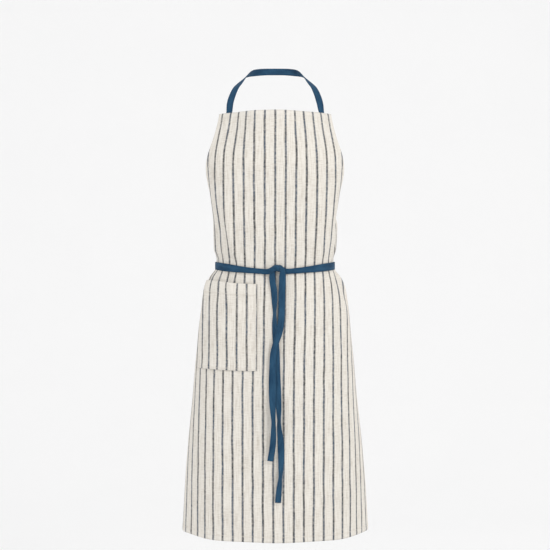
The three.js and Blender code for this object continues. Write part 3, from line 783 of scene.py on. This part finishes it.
def tape_cloth():
    f = Finish("blue_tape", Sheen_Weight=0.04, Sheen_Roughness=0.5, Specular_IOR_Level=0.16)
    across, along, _ = f.split(f.attribute("cut", 1))
    twill = (along * 5200.0 + across.math("ABSOLUTE") * 5200.0).math("SINE") * 0.5 + 0.5
    cloud = f.noise(f.join(across * 90.0, along * 30.0), 1.0, 3.0)
    slub = f.noise(f.join(across * 1600.0, along * 60.0), 1.0, 2.0)
    edge = TAPE_HALF - across.math("ABSOLUTE")
    seam = 1.0 - (edge - 0.0016).math("ABSOLUTE").between(0.0002, 0.0006)
    dash = (along.wave(0.0026) + 0.25).between(0.0, 0.35)
    worn = 1.0 - edge.between(0.0001, 0.0011)
    tone = (cloud - 0.5) * 1.3 + (slub - 0.5) * 0.9 + twill * 0.14 + 0.42
    colour = f.mix(tone, (0.006, 0.032, 0.074, 1), (0.032, 0.100, 0.182, 1))
    colour = f.mix(worn * 0.22, colour, (0.06, 0.14, 0.22, 1))
    colour = f.mix(seam * dash * 0.55, colour, (0.006, 0.022, 0.05, 1))
    fine = f.bump(twill + slub * 0.6, 0.00018, 0.7)
    creases = f.bump(cloud - seam * 0.30, 0.0016, 0.6, normal=fine)
    return f.done(Base_Color=colour, Roughness=0.78 + slub * 0.14, Normal=creases)


blue_tape = tape_cloth()
STRAP_ACROSS = 0.110            # from the middle of the bib to the strap's middle line
STRAP_LEAN = 0.33               # how far the sewn end leans outwards as it goes down
STRAP_HALF = 0.0072
SEWN_LENGTH = 0.028
TAPE_UNDER = -0.0032            # from the panel's outer face to a tape sewn behind it
STRAP_SIDE = [
    # x, y, z of the inner face, and the way it looks there
    (0.0925, -0.094, -0.082, 0.20, -0.85, 0.45),
    (0.0870, -0.085, -0.062, 0.20, -0.75, 0.60),
    (0.0805, -0.076, -0.047, 0.25, -0.55, 0.80),
    (0.0745, -0.066, -0.038, 0.35, -0.45, 0.82),
    (0.0675, -0.055, -0.028, 0.50, -0.25, 0.80),
    (0.0600, -0.044, -0.018, 0.65, 0.00, 0.75),
    (0.0530, -0.032, -0.011, 0.75, 0.30, 0.60),
    (0.0440, -0.019, -0.006, 0.60, 0.70, 0.35),
    (0.0320, -0.008, -0.0024, 0.40, 0.90, 0.15),
    (0.0180, -0.0016, -0.0004, 0.15, 1.00, 0.00),
    (0.0080, 0.0, 0.0, 0.0, 1.0, 0.0),
]


def strap_rows(hand):
    """Rows for one side of the strap, from its sewn end to the middle of the nape."""
    rows = []
    for drop in (SEWN_LENGTH, SEWN_LENGTH / 2, 0.002):
        point, way = on_panel(hand * (STRAP_ACROSS + STRAP_LEAN * drop), drop, TAPE_UNDER)
        rows.append([*point, *way, STRAP_HALF, TAPE_THICK, 0.0])
    for x, y, z, *way in STRAP_SIDE:
        way = np.array(way) / np.linalg.norm(way)
        point = np.array([x, y, z]) + way * TAPE_THICK
        rows.append([hand * point[0], point[1], point[2], hand * way[0], way[1], way[2],
                     STRAP_HALF, TAPE_THICK, 0.0])
    return rows


strap_path, strap_length = path_through(strap_rows(-1) + strap_rows(1)[::-1])
neck_strap = tape_piece("neck_strap_tape", strap_path)
neck_strap.data.materials.append(blue_tape)
fit(neck_strap, "neck_strap")


def limp_tape(path):
    [tuple(p) for p in path[::6, :3]] + [tuple(path[-1, :3])]


limp_tape(strap_path)


def box_stitching(name, node, across, down, reach_across, reach_down):
    """A closed box of stitches on the panel's outer face."""
    turn = np.linspace(0, 4, 61)
    corner_x = np.interp(turn % 4, [0, 1, 2, 3, 4], [-1, 1, 1, -1, -1])
    corner_z = np.interp(turn % 4, [0, 1, 2, 3, 4], [-1, -1, 1, 1, -1])
    panel_seam(name, node, across + corner_x * reach_across, down + corner_z * reach_down)


for side, hand in (("left", -1), ("right", 1)):
    box_stitching(f"strap_stitching_{side}", f"strap_stitch_{side}",
                  hand * (STRAP_ACROSS + 0.003), 0.0115, 0.0055, 0.007)

# Waist ties: two of the same blue tapes. Each is sewn inside one side corner, crosses the other at
# the back, comes round over the panel, is tied in front in a half knot, and hangs down the skirt as
# a tail whose end is turned under and stitched.
SEWN_DROP = 0.018
TAPE_OVER = 0.0030
KNOT = np.array([0.005, 0.0, -0.4240])
SEWN_DOWN = BIB_TOP - TIE_BACK + SEWN_DROP + 0.005      # on the flat cut, to the sewn end
KNOT_PROUD = 0.0074


def trunk_point(share, height, lift):
    """A place round the plain trunk, by the signed share of the way from front to back middle."""
    x, y, base = plain_section(height)
    wrapped = (share + 1.0) % 2.0
    places = np.array([wrapped - 0.004, wrapped, wrapped + 0.004]) * base[-1] / 2.0
    px, py = np.interp(places % base[-1], base, x), np.interp(places % base[-1], base, y)
    run = np.array([px[2] - px[0], py[2] - py[0]])
    run /= np.linalg.norm(run)
    way = np.array([run[1], -run[0], 0.0])
    return np.array([px[1], py[1], height]) + way * lift, way


def panel_row(height):
    return int(np.interp(BIB_TOP - height, row_drop, np.arange(len(row_drop))))


def front_y(x, height, reach=0.0):
    """How far forward the hung panel's outer face stands near a place seen from the front."""
    row = panel_row(height)
    middle = slice(PANEL_COLUMNS // 4, -(PANEL_COLUMNS // 4))
    px, py = panel_points[row, middle, 0], panel_points[row, middle, 1]
    spots = np.array([x - reach, x, x + reach])
    return float(np.min(np.interp(spots, px, py)))


KNOT[1] = front_y(0.0, KNOT[2]) - KNOT_PROUD


def edge_share(height):
    """The share of the way round at which the panel's side edge hangs, at one height."""
    edge = panel_points[panel_row(height), -1]
    tries = np.linspace(0.5, 1.0, 251)
    gaps = [np.linalg.norm(trunk_point(t, height, 0.0)[0][:2] - edge[:2]) for t in tries]
    return float(tries[int(np.argmin(gaps))])


EDGE_SHARE, SEWN_EDGE_SHARE = edge_share(TIE_BACK), edge_share(TIE_BACK - SEWN_DROP)


def waist_rows(hand, over):
    """hand -1 starts at the left side corner. The tapes cross in the middle of the open back."""
    rows = []
    for inset in (SEWN_LENGTH, SEWN_LENGTH / 2, 0.001):
        point, way = on_panel(hand * (HALF_CUT - inset), SEWN_DOWN, TAPE_UNDER)
        rows.append([*point, *way, TAPE_HALF, TAPE_THICK, 0.0])
    crossing = 0.0010 if over else -0.0012
    leaves, arrives = ((0.0, 0.12), (0.70, 1.0)) if over else ((0.10, 0.40), (0.88, 1.0))
    for t in np.linspace(0.08, 0.92, 15):
        rise = float(smooth(0.0, 1.0, t))
        edge = SEWN_EDGE_SHARE + (EDGE_SHARE - SEWN_EDGE_SHARE) * rise
        lift = TAPE_UNDER + (crossing - TAPE_UNDER) * float(smooth(*leaves, t))
        lift += (TAPE_OVER - crossing) * float(smooth(*arrives, t))
        point, way = trunk_point(hand * (edge + 2 * (1 - edge) * t),
                                 TIE_BACK - SEWN_DROP * (1 - rise), lift)
        rows.append([*point, *way, TAPE_HALF, TAPE_THICK, 0.0])
    for share in np.linspace(EDGE_SHARE, 0.085, 34):
        height = float(tie_height(share))
        point, way = trunk_point(-hand * share, height, TAPE_OVER)
        tight = float(smooth(0.34, 0.09, share))
        rows.append([*point, *way, TAPE_HALF - 0.0026 * tight, TAPE_THICK + 0.0010 * tight,
                     0.8 * tight])
    return rows


def knot_rows(hand, entry, leave):
    """hand 1 comes in from the right and leaves at the left, behind. hand -1 is the other."""
    turn, reach, rise = 0.0088, 0.0046, 0.0042
    strand_half, strand_thick = 0.0056, 0.0025
    spots = [
        # how far to the right, forward and up, and the way that the tape looks there
        (hand * turn * 1.95, entry, -0.0062, hand * 0.2, 1.0, 0.0),
        (hand * turn * 0.85, -hand * reach * 0.85, -0.0020, hand * 0.4, 1.0, -0.2),
        (hand * turn * 0.4, 0.0, -rise, 0.0, 0.3, -1.0),
        (0.0, hand * reach, 0.0008, 0.0, hand * 1.0, 0.1),
        (-hand * turn * 0.4, 0.0, rise, -hand * 0.2, 0.3, 1.0),
        (-hand * turn, -hand * reach * 0.8, 0.0005, -hand * 0.9, 0.5, 0.4),
        (-hand * turn * 1.15, leave, -0.0065, -hand * 0.3, 1.0, 0.1),
    ]
    rows = []
    for x, forward, up, out_x, out_forward, out_up in spots:
        way = np.array([out_x, -out_forward, out_up])
        way /= np.linalg.norm(way)
        rows.append([KNOT[0] + x, KNOT[1] - forward, KNOT[2] + up, *way, strand_half,
                     strand_thick, 1.0])
    return rows


def tail_rows(line, near, far):
    """line holds x, height, twist in degrees and half width. near and far are the lifts."""
    rows = []
    for x, height, twist, half in line:
        settle = float(smooth(0.0, 0.09, KNOT[2] - height))
        clear = near + (far - near) * settle + abs(math.sin(math.radians(twist))) * half * 0.9
        y = front_y(x, height, 0.008) - clear
        turn = math.radians(twist)
        rows.append([x, y, height, math.sin(turn), -math.cos(turn), 0.0, half,
                     TAPE_THICK + 0.0014 * (1 - settle), 0.9 * (1 - settle)])
    return rows


LEFT_TAIL = [
    (-0.0054, -0.440, -8, 0.0062), (-0.0048, -0.452, -12, 0.0063), (-0.0026, -0.465, -18, 0.0066),
    (-0.0014, -0.480, -28, 0.0068), (-0.0010, -0.497, -44, 0.0068), (-0.0010, -0.515, -60, 0.0066),
    (-0.0010, -0.533, -44, 0.0066), (0.0010, -0.565, -26, 0.0066), (0.0030, -0.590, -18, 0.0066),
    (0.0036, -0.625, -10, 0.0068), (0.0058, -0.675, -14, 0.0068), (0.0076, -0.708, -36, 0.0066),
    (0.0080, -0.726, -56, 0.0066), (0.0086, -0.744, -44, 0.0066), (0.0110, -0.766, -22, 0.0066),
    (0.0122, -0.796, 14, 0.0066), (0.0120, -0.820, 34, 0.0066), (0.0106, -0.840, 54, 0.0066),
    (0.0084, -0.862, 30, 0.0064), (0.0060, -0.891, 12, 0.0062),
]
RIGHT_TAIL = [
    (0.0150, -0.440, 8, 0.0068), (0.0148, -0.452, 8, 0.0069), (0.0140, -0.470, 8, 0.0069),
    (0.0134, -0.497, 10, 0.0069), (0.0122, -0.530, 14, 0.0069), (0.0085, -0.553, 18, 0.0068),
    (0.0015, -0.575, 20, 0.0066), (-0.0025, -0.592, 12, 0.0068), (-0.0046, -0.625, 8, 0.0070),
    (-0.0050, -0.685, 10, 0.0070), (-0.0040, -0.712, 36, 0.0066), (-0.0030, -0.730, 50, 0.0066),
    (-0.0030, -0.748, 38, 0.0066), (-0.0040, -0.772, 22, 0.0066), (-0.0062, -0.790, 18, 0.0066),
    (-0.0095, -0.808, 16, 0.0064),
]
END_STITCH_PITCH = 0.0026
blue_thread = sewing_thread("blue_thread", (0.035, 0.085, 0.15, 1), (0.012, 0.035, 0.07, 1))
TIES = [
    # side, hand, over the other at the back, knot, tail, its lift at the knot and lower down
    ("left", -1, True, (1, -0.0034, -0.0016), LEFT_TAIL, KNOT_PROUD - 0.0016, 0.0022),
    ("right", 1, False, (-1, -0.0010, 0.0030), RIGHT_TAIL, KNOT_PROUD + 0.0030, 0.0058),
]
for side, hand, over, knot, line, near, far in TIES:
    rows = waist_rows(hand, over) + knot_rows(*knot) + tail_rows(line, near, far)
    path, length = path_through(rows)
    tie = tape_piece(f"{side}_tie_tape", path)
    tie.data.materials.append(blue_tape)
    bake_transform(tie)
    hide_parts(f"{side}_tie_waist", f"{side}_tie_knot", f"{side}_tie_tail")
    limp_tape(path)
    end = path[-8]
    along = path[-1, :3] - path[-12, :3]
    along /= np.linalg.norm(along)
    across = np.cross(end[3:6], along)
    across /= np.linalg.norm(across)
    spread = np.linspace(-0.0064, 0.0064, 9)
    points = end[:3] + across * spread[:, None] + end[3:6] * (TAPE_THICK + 0.0002)
    ways = np.repeat(end[None, 3:6], 9, axis=0)
    seam = stitch_row(f"{side}_tie_end_stitching", points, ways, blue_thread, END_STITCH_PITCH)
    fit(seam, f"{side}_tie_end_seam", f"{side}_tail")
    box_stitching(f"tie_stitching_{side}", f"tie_stitch_{side}", hand * (HALF_CUT - 0.0145),
                  SEWN_DOWN, 0.0095, 0.0055)

# the pegs that the stitches were copied from
for peg in (long_stitch, tack_stitch):
    bpy.data.objects.remove(peg)

# Stage: a pale seamless floor and wall, and soft studio light, strongest from the right
FLOOR = -1.42
floor_mesh = bpy.data.meshes.new("floor")
sweep = [(-6.0, FLOOR), (2.0, FLOOR)]
for turn in np.linspace(0, math.pi / 2, 13)[1:]:
    sweep.append((2.0 + 2.0 * math.sin(turn), FLOOR + 2.0 - 2.0 * math.cos(turn)))
sweep.append((4.0, 6.0))
points = [(x, y, z) for y, z in sweep for x in (-9.0, 9.0)]
floor_mesh.from_pydata(points, [], [(2 * i, 2 * i + 1, 2 * i + 3, 2 * i + 2)
                                    for i in range(len(sweep) - 1)])
floor_mesh.polygons.foreach_set("use_smooth", np.ones(len(sweep) - 1, bool))
floor = bpy.data.objects.new("floor", floor_mesh)
bpy.context.collection.objects.link(floor)
paper = Finish("paper", Roughness=0.9)
grain = paper.noise(paper.node("ShaderNodeTexCoord", output=3), 3.0, 3.0)
floor_mesh.materials.append(paper.done(
    Base_Color=paper.mix(grain * 0.5, (0.97, 0.97, 0.97, 1), (0.93, 0.93, 0.935, 1))))


def area_light(name, place, aim, size, power, colour):
    lamp = bpy.data.lights.new(name, "AREA")
    lamp.shape, lamp.size, lamp.energy, lamp.color = "DISK", size, power, colour
    light = bpy.data.objects.new(name, lamp)
    bpy.context.collection.objects.link(light)
    light.location = place
    way = np.array(aim) - np.array(place)
    flat = math.hypot(way[0], way[1])
    light.rotation_euler = (math.atan2(flat, -way[2]), 0.0, math.atan2(-way[0], way[1]))
    return light


area_light("key", (1.5, -2.2, 1.2), (0, 0, -0.5), 1.2, 26.0, (1.0, 0.99, 0.97))
area_light("fill", (-2.4, -1.8, 0.4), (0, 0, -0.5), 2.0, 8.0, (0.95, 0.97, 1.0))
world = bpy.data.worlds.new("studio")
world.use_nodes = True
world.node_tree.nodes["Background"].inputs["Color"].default_value = (1.0, 1.0, 1.0, 1.0)
world.node_tree.nodes["Background"].inputs["Strength"].default_value = 0.90
bpy.context.scene.world = world
